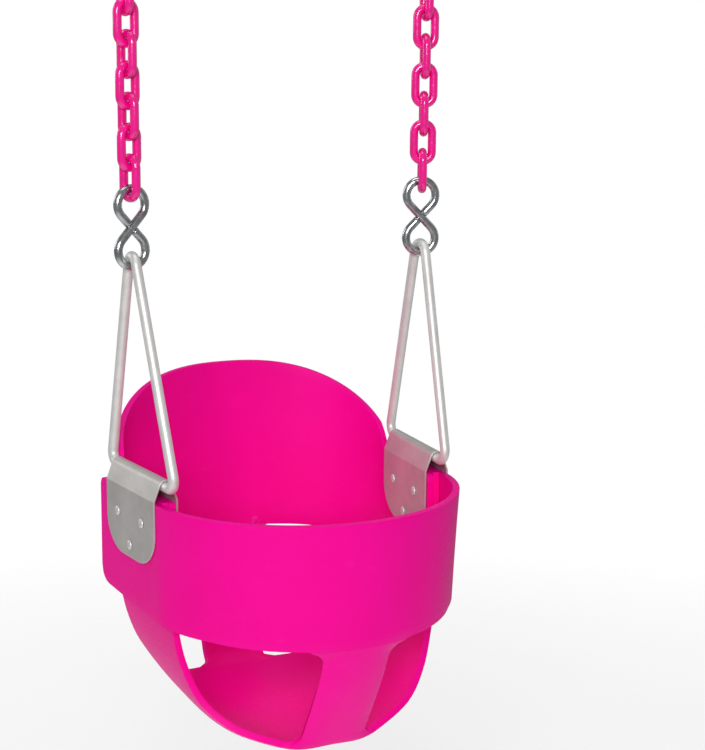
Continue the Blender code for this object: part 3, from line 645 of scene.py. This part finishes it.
def make_carabiners():
    frame_of_gate = gate_frame()
    still = Matrix.Identity(4)
    for side, sign in SIDES.items():
        turn = chain_twist(side, 1) + (0 if sign > 0 else pi)
        place = Matrix.Translation((chain_x(side, BOW_Z), 0, BOW_Z)) @ Matrix.Rotation(turn, 4, "Z")
        body = shaped(carabiner_body_mesh(), [
            (tang_mesh("tang"), frame_of_gate, "UNION"),
            (nose_mesh("nose"), frame_of_gate, "UNION"),
            (pin_rod(PIN_RADIUS + GAP, HOLE_LENGTH), frame_of_gate, "DIFFERENCE"),
        ])
        add_piece(f"carabiner_body_{side}", body, "bright_zinc", "carabiners", place)
        low = -gate_drop()
        bar = mesh_of(sweep([(0, low), (0, TONGUE)], CARABINER_ROD / 2, 28, closed=False), "gate")
        bore_line = [(0, end) for end in BORE_ENDS]
        bore = mesh_of(sweep(bore_line, BORE_RADIUS, 20, closed=False), "bore")
        gate = shaped(bar, [
            (slot_mesh(-0.0030, 0.0080, "slot"), still, "DIFFERENCE"),
            (slot_mesh(low - 0.0040, low + 0.0046, "slot"), still, "DIFFERENCE"),
            (bore, still, "DIFFERENCE"),
            (pin_rod(PIN_RADIUS + GAP, HOLE_LENGTH), still, "DIFFERENCE"),
        ])
        add_piece(f"carabiner_gate_{side}", gate, "bright_zinc", f"gate_{side}", place @ frame_of_gate)
        pin = pin_rod(PIN_RADIUS, CARABINER_ROD * PIN_LENGTH)
        add_piece(f"gate_pin_{side}", pin, "spring_steel", "carabiners", place @ frame_of_gate)


# ---------------------------------------------------------------- hangers, saddles and rivets

def make_hangers():
    for side, sign in SIDES.items():
        mesh = hanger_mesh()
        foot = sign * roll_x(0)
        for v in mesh.vertices:
            share = max(0.0, min(1.0, -v.co.z / HANGER_DROP))
            v.co.x += sign * (HANGER_X * (1 - share)) + foot * share + sign * v.co.y * TOE * share
        add_piece(f"triangle_hanger_{side}", mesh, "grey_rod", "seat", Matrix.Translation((0, 0, APEX_Z)), 60)


def make_saddles():
    half = SADDLE_LENGTH / 2
    for side in SIDES:
        sheet = prism(saddle_section(), -half, half, "Y", "saddle")
        trim = prism(saddle_outline(), -TRIM_HALF, TRIM_HALF, "X", "trim")
        plate = shaped(sheet, [(trim, Matrix.Identity(4), "INTERSECT")])
        piece = add_piece(f"hanger_plate_{side}", plate, "satin_plate", "seat", saddle_frame(side), 17)
        round_edges(piece, PLATE_ROUND, 32)


def rivet_mesh():
    """A rivet along X: its shank and a domed head with a thin flat rim on both faces."""
    face = 1.5 * LAYER + 2 * GAP + SADDLE_SHEET
    head = [(face, RIVET_HEAD * 0.97), (face + 0.0003, RIVET_HEAD)]
    for a in np.linspace(0, 1.45, 9):
        head.append((face + 0.0005 + RIVET_RISE * sin(a), RIVET_HEAD * 0.96 * cos(a)))
    half = [(face, RIVET_RADIUS)] + head
    profile = [(-x, r) for x, r in half[::-1]] + half
    shape = bmesh.new()
    turns = np.arange(RIVET_SIDES) * 2 * pi / RIVET_SIDES
    rings = [[shape.verts.new((x, r * cos(a), r * sin(a))) for a in turns] for x, r in profile]
    for ring, after in zip(rings, rings[1:]):
        for k in range(RIVET_SIDES):
            j = (k + 1) % RIVET_SIDES
            shape.faces.new((ring[k], ring[j], after[j], after[k]))
    shape.faces.new(rings[0])
    shape.faces.new(rings[-1])
    return mesh_of(shape, "rivet")


def make_rivets():
    for side in SIDES:
        for number, (y, z) in enumerate(RIVETS, 1):
            place = saddle_frame(side) @ Matrix.Translation((0, y, z))
            rivet = add_piece(f"rivet_{side}_{number}", rivet_mesh(), "bright_zinc", "seat", place, 50)
            rivet.data.materials[0] = FINISHES["dull_zinc"]


# ---------------------------------------------------------------- seat

def panel(shape, grid, sign):
    rows = [[shape.verts.new(point) for point in row * (sign, 1, 1)] for row in grid]
    for row, after in zip(rows, rows[1:]):
        for k in range(len(row) - 1):
            shape.faces.new((row[k], row[k + 1], after[k + 1], after[k]))


def make_seat():
    """The moulding's middle surface, welded from five panels and their mirror images, then thickened."""
    front, rear, floor = band(), back(), hip()
    inner = slice(0, COLUMNS + 1)
    crotch = strap(front[0][inner], floor[0][inner], STRAP_PROFILE, (STRAP_FILLET, FLOOR_FILLET))
    tail = strap(rear[0][inner], floor[-1][inner], TAIL_PROFILE, (TAIL_FILLET, FLOOR_FILLET))
    shape = bmesh.new()
    for sign in (1, -1):
        for grid in (front, rear, floor, crotch, tail):
            panel(shape, grid, sign)
    bmesh.ops.remove_doubles(shape, verts=shape.verts, dist=WELD)
    mesh = mesh_of(shape, "seat")
    piece = add_piece("bucket_seat", mesh, "pink_plastic", "seat", Matrix.Translation((0, 0, APEX_Z)), 55)
    sheet = piece.modifiers.new("sheet", "SOLIDIFY")
    sheet.thickness = SHEET
    sheet.offset = 0
    round_edges(piece, RIM_ROUND, 55, 4)


# ---------------------------------------------------------------- finishes

MIX_A, MIX_B, MIX_RESULT = 6, 7, 2  # a mix node's sockets for colours


class Finish:
    """A node material under construction: one shader and the textures that feed it."""

    def __init__(self, name, colour, roughness, metallic=0.0, specular=0.5, coat=0.0):
        self.material = bpy.data.materials.new(f"finish_{name}")
        self.material.use_nodes = True
        self.tree = self.material.node_tree
        self.shader = self.tree.nodes["Principled BSDF"]
        self.shader.inputs["Base Color"].default_value = (*colour, 1.0)
        self.shader.inputs["Roughness"].default_value = roughness
        self.shader.inputs["Metallic"].default_value = metallic
        self.shader.inputs["Specular IOR Level"].default_value = specular
        self.shader.inputs["Coat Weight"].default_value = coat
        self.shader.inputs["Coat Roughness"].default_value = 0.12
        self.place = self.tree.nodes.new("ShaderNodeTexCoord").outputs["Object"]
        self.normal = None

    def noise(self, scale, detail=3.0, rough=0.55, stretch=(1, 1, 1)):
        mapping = self.tree.nodes.new("ShaderNodeMapping")
        mapping.inputs["Scale"].default_value = stretch
        self.tree.links.new(self.place, mapping.inputs["Vector"])
        made = self.tree.nodes.new("ShaderNodeTexNoise")
        made.inputs["Scale"].default_value = scale
        made.inputs["Detail"].default_value = detail
        made.inputs["Roughness"].default_value = rough
        self.tree.links.new(mapping.outputs["Vector"], made.inputs["Vector"])
        return made.outputs["Fac"]

    def spots(self, scale):
        made = self.tree.nodes.new("ShaderNodeTexVoronoi")
        made.inputs["Scale"].default_value = scale
        self.tree.links.new(self.place, made.inputs["Vector"])
        return made.outputs["Distance"]

    def ranged(self, value, low, high, to_low, to_high):
        made = self.tree.nodes.new("ShaderNodeMapRange")
        made.inputs["From Min"].default_value = low
        made.inputs["From Max"].default_value = high
        made.inputs["To Min"].default_value = to_low
        made.inputs["To Max"].default_value = to_high
        self.tree.links.new(value, made.inputs["Value"])
        return made.outputs["Result"]

    def math(self, operation, a, b):
        made = self.tree.nodes.new("ShaderNodeMath")
        made.operation = operation
        self.tree.links.new(a, made.inputs[0])
        self.tree.links.new(b, made.inputs[1])
        return made.outputs["Value"]

    def mixed(self, share, a, b):
        """Two colours mixed by a share; the first may itself be a mix."""
        made = self.tree.nodes.new("ShaderNodeMix")
        made.data_type = "RGBA"
        self.tree.links.new(share, made.inputs["Factor"])
        if isinstance(a, tuple):
            made.inputs[MIX_A].default_value = (*a, 1.0)
        else:
            self.tree.links.new(a, made.inputs[MIX_A])
        made.inputs[MIX_B].default_value = (*b, 1.0)
        return made.outputs[MIX_RESULT]

    def cloudy(self, a, b, scale, detail=4, rough=0.6, low=0.3, high=0.7):
        """Two colours mixed in soft clouds."""
        return self.mixed(self.ranged(self.noise(scale, detail, rough), low, high, 0.0, 1.0), a, b)

    def feed(self, value, socket):
        self.tree.links.new(value, self.shader.inputs[socket])

    def bump(self, height, distance, strength=1.0):
        """Adds one scale of relief; later calls ride on earlier ones."""
        made = self.tree.nodes.new("ShaderNodeBump")
        made.inputs["Strength"].default_value = strength
        made.inputs["Distance"].default_value = distance
        self.tree.links.new(height, made.inputs["Height"])
        if self.normal is not None:
            self.tree.links.new(self.normal, made.inputs["Normal"])
        self.normal = made.outputs["Normal"]
        self.tree.links.new(self.normal, self.shader.inputs["Normal"])


def pink_plastic():
    """Satin moulded plastic: cloudy colour, mottled gloss, fine leathery grain, faint specks and scuffs."""
    f = Finish("pink_plastic", (0.93, 0.0, 0.27), 0.42, specular=0.09)
    clouds = f.ranged(f.noise(7, 3), 0.3, 0.7, 0.0, 1.0)
    tone = f.mixed(clouds, (0.87, 0.0004, 0.272), (0.95, 0.0012, 0.33))
    dots = f.ranged(f.spots(230), 0.10, 0.05, 0.0, 1.0)
    few = f.ranged(f.noise(60, 2), 0.60, 0.68, 0.0, 0.55)
    tone = f.mixed(f.math("MULTIPLY", dots, few), tone, (1.0, 0.10, 0.42))
    scuffs = f.ranged(f.noise(26, 5, 0.7, (1, 1, 5)), 0.62, 0.78, 0.0, 0.22)
    tone = f.mixed(scuffs, tone, (0.98, 0.035, 0.36))
    f.feed(tone, "Base Color")
    f.feed(f.ranged(f.noise(340, 4, 0.65), 0.30, 0.70, 0.34, 0.50), "Roughness")
    f.bump(f.noise(16, 2), 0.0016, 0.30)
    f.bump(f.noise(420, 4, 0.62), 0.00012, 0.55)
    f.bump(f.noise(1600, 2), 0.00004, 0.5)
    return f.material


def pink_chain_coating():
    """Glossy dipped coating: slow waves where it ran, small pits and a slightly uneven gloss."""
    f = Finish("pink_chain_coating", (0.93, 0.0, 0.27), 0.20, specular=0.5, coat=0.6)
    f.shader.inputs["Coat Roughness"].default_value = 0.05
    tone = f.cloudy((0.82, 0.0006, 0.235), (0.96, 0.0012, 0.305), 60, 3, 0.55)
    f.feed(tone, "Base Color")
    f.feed(f.ranged(f.noise(300, 3), 0.30, 0.70, 0.12, 0.22), "Roughness")
    f.bump(f.noise(170, 2), 0.0008, 0.35)
    f.bump(f.noise(900, 3), 0.00008, 0.5)
    return f.material


def bright_zinc():
    """Bright zinc plating: a pale blue-grey with cloudy patches, fine drawing lines and soft pits."""
    f = Finish("bright_zinc", (0.66, 0.68, 0.70), 0.22, metallic=1.0)
    tone = f.cloudy((0.30, 0.315, 0.33), (0.62, 0.645, 0.655), 120)
    tone = f.mixed(f.ranged(f.noise(520, 3, 0.7), 0.60, 0.75, 0.0, 0.5), tone, (0.38, 0.39, 0.40))
    f.feed(tone, "Base Color")
    f.feed(f.ranged(f.noise(260, 4, 0.6), 0.3, 0.7, 0.13, 0.30), "Roughness")
    f.bump(f.noise(110, 2), 0.0004, 0.35)
    f.bump(f.noise(1100, 3, 0.6, (1, 1, 0.25)), 0.00002, 0.3)
    return f.material


def dull_zinc():
    """Zinc on the rivet heads, dulled by the setting tool: pale, soft and faintly pitted."""
    f = Finish("dull_zinc", (0.70, 0.70, 0.69), 0.46, metallic=0.55, specular=0.4)
    tone = f.cloudy((0.60, 0.60, 0.59), (0.76, 0.755, 0.745), 260)
    f.feed(tone, "Base Color")
    f.feed(f.ranged(f.noise(700, 4, 0.6), 0.3, 0.7, 0.36, 0.54), "Roughness")
    f.bump(f.noise(900, 3), 0.00004, 0.5)
    return f.material


def grey_rod():
    """Satin grey plating on drawn rod: lines along the rod and a dull, slightly patchy bloom."""
    f = Finish("grey_rod", (0.66, 0.65, 0.64), 0.50, metallic=0.55, specular=0.4)
    tone = f.cloudy((0.72, 0.715, 0.70), (0.86, 0.855, 0.84), 45)
    lines = f.ranged(f.noise(700, 3, 0.7, (1, 1, 0.08)), 0.55, 0.75, 0.0, 0.35)
    tone = f.mixed(lines, tone, (0.58, 0.57, 0.56))
    f.feed(tone, "Base Color")
    f.feed(f.ranged(f.noise(420, 4, 0.6, (1, 1, 0.15)), 0.3, 0.7, 0.42, 0.56), "Roughness")
    f.bump(f.noise(900, 3, 0.6, (1, 1, 0.05)), 0.00006, 0.7)
    return f.material


def satin_plate():
    """Satin zinc-plated sheet: a dull warm grey with fine rolling grain, speckle and small dings."""
    f = Finish("satin_plate", (0.42, 0.41, 0.39), 0.48, metallic=0.6, specular=0.3)
    tone = f.cloudy((0.52, 0.50, 0.48), (0.62, 0.60, 0.58), 36)
    tone = f.mixed(f.ranged(f.noise(1500, 2, 0.6), 0.58, 0.72, 0.0, 0.5), tone, (0.68, 0.67, 0.65))
    f.feed(tone, "Base Color")
    f.feed(f.ranged(f.noise(700, 4, 0.6, (1, 0.12, 1)), 0.3, 0.7, 0.40, 0.56), "Roughness")
    f.bump(f.noise(24, 2), 0.0006, 0.35)
    f.bump(f.noise(1200, 3, 0.6, (1, 0.2, 1)), 0.00005, 0.7)
    return f.material


def spring_steel():
    """Plain dark steel with a light film of wear."""
    f = Finish("spring_steel", (0.28, 0.28, 0.30), 0.35, metallic=1.0)
    tone = f.cloudy((0.22, 0.22, 0.235), (0.36, 0.36, 0.37), 500, low=0.35, high=0.65)
    f.feed(tone, "Base Color")
    f.feed(f.ranged(f.noise(800, 3), 0.3, 0.7, 0.26, 0.42), "Roughness")
    f.bump(f.noise(1500, 3), 0.00004, 0.6)
    return f.material


# ---------------------------------------------------------------- floor, light and camera

def make_floor():
    """A pale disc that fades out into the white surround."""
    shape = bmesh.new()
    rings = []
    for radius in np.linspace(FLOOR_CORE, FLOOR_RADIUS, FLOOR_RINGS):
        turns = np.arange(FLOOR_SIDES) * 2 * pi / FLOOR_SIDES
        rings.append([shape.verts.new((radius * cos(a), radius * sin(a), 0)) for a in turns])
    shape.faces.new(rings[0])
    for ring, after in zip(rings, rings[1:]):
        for k in range(FLOOR_SIDES):
            j = (k + 1) % FLOOR_SIDES
            shape.faces.new((ring[k], ring[j], after[j], after[k]))
    mesh = mesh_of(shape, "floor")
    f = Finish("floor", (0.86, 0.86, 0.86), 0.9, specular=0.05)
    f.feed(f.cloudy((0.84, 0.84, 0.84), (0.87, 0.87, 0.87), 3, 3, 0.55), "Base Color")
    far = f.tree.nodes.new("ShaderNodeVectorMath")
    far.operation = "LENGTH"
    f.tree.links.new(f.place, far.inputs[0])
    fade = f.ranged(far.outputs["Value"], FLOOR_RADIUS * 0.20, FLOOR_RADIUS * 0.90, 1.0, 0.0)
    f.feed(fade, "Alpha")
    f.shader.inputs["Emission Color"].default_value = (1.0, 1.0, 1.0, 1.0)
    f.shader.inputs["Emission Strength"].default_value = FLOOR_GLOW
    mesh.materials.append(f.material)
    floor = bpy.data.objects.new("floor", mesh)
    floor.location.z = FLOOR_Z
    bpy.context.scene.collection.objects.link(floor)


def soft_light(name, spot, power, size):
    data = bpy.data.lights.new(name, "AREA")
    data.shape = "RECTANGLE"
    data.size, data.size_y = size
    data.energy = power
    lamp = bpy.data.objects.new(name, data)
    lamp.location = spot
    lamp.rotation_euler = (Vector(LAMP_AIM) - Vector(spot)).to_track_quat("-Z", "Y").to_euler()
    lamp.visible_camera = False
    bpy.context.scene.collection.objects.link(lamp)


def make_light():
    world = bpy.data.worlds.new("surround")
    bpy.context.scene.world = world
    world.use_nodes = True
    tree = world.node_tree
    plain = tree.nodes["Background"]
    plain.inputs["Color"].default_value = (1.0, 1.0, 1.0, 1.0)
    plain.inputs["Strength"].default_value = SURROUND
    white = tree.nodes.new("ShaderNodeBackground")
    white.inputs["Color"].default_value = (1.0, 1.0, 1.0, 1.0)
    white.inputs["Strength"].default_value = BACKDROP
    seen = tree.nodes.new("ShaderNodeLightPath")
    both = tree.nodes.new("ShaderNodeMixShader")
    tree.links.new(seen.outputs["Is Camera Ray"], both.inputs["Fac"])
    tree.links.new(plain.outputs["Background"], both.inputs[1])
    tree.links.new(white.outputs["Background"], both.inputs[2])
    tree.links.new(both.outputs["Shader"], tree.nodes["World Output"].inputs["Surface"])
    for lamp in LAMPS:
        soft_light(*lamp)


def make_camera():
    data = bpy.data.cameras.new("camera")
    data.sensor_width = SENSOR
    data.sensor_fit = "HORIZONTAL"
    data.lens = LENS
    camera = bpy.data.objects.new("camera", data)
    around, up = radians(VIEW_AZIMUTH), radians(VIEW_ELEVATION)
    back_way = Vector((sin(around) * cos(up), -cos(around) * cos(up), sin(up)))
    right = Vector((cos(around), sin(around), 0))
    above = back_way.cross(right)
    roll = radians(VIEW_ROLL)
    turned = right * cos(roll) + above * sin(roll)
    upright = above * cos(roll) - right * sin(roll)
    facing = Matrix((turned, upright, back_way)).transposed().to_4x4()
    camera.matrix_world = Matrix.Translation(VIEW_PLACE) @ facing
    bpy.context.scene.collection.objects.link(camera)
    bpy.context.scene.camera = camera
    bpy.context.scene.view_settings.view_transform = "Standard"


# ---------------------------------------------------------------- the scene

FINISHES = {
    "pink_plastic": pink_plastic(),
    "pink_chain_coating": pink_chain_coating(),
    "bright_zinc": bright_zinc(),
    "dull_zinc": dull_zinc(),
    "grey_rod": grey_rod(),
    "satin_plate": satin_plate(),
    "spring_steel": spring_steel(),
}
make_camera()
make_chains()
make_hooks()
make_carabiners()
make_hangers()
make_saddles()
make_rivets()
make_seat()
for side in SIDES:
    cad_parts[f"gate_spring_{side}"].material_slots[0].material = FINISHES["spring_steel"]
make_floor()
make_light()
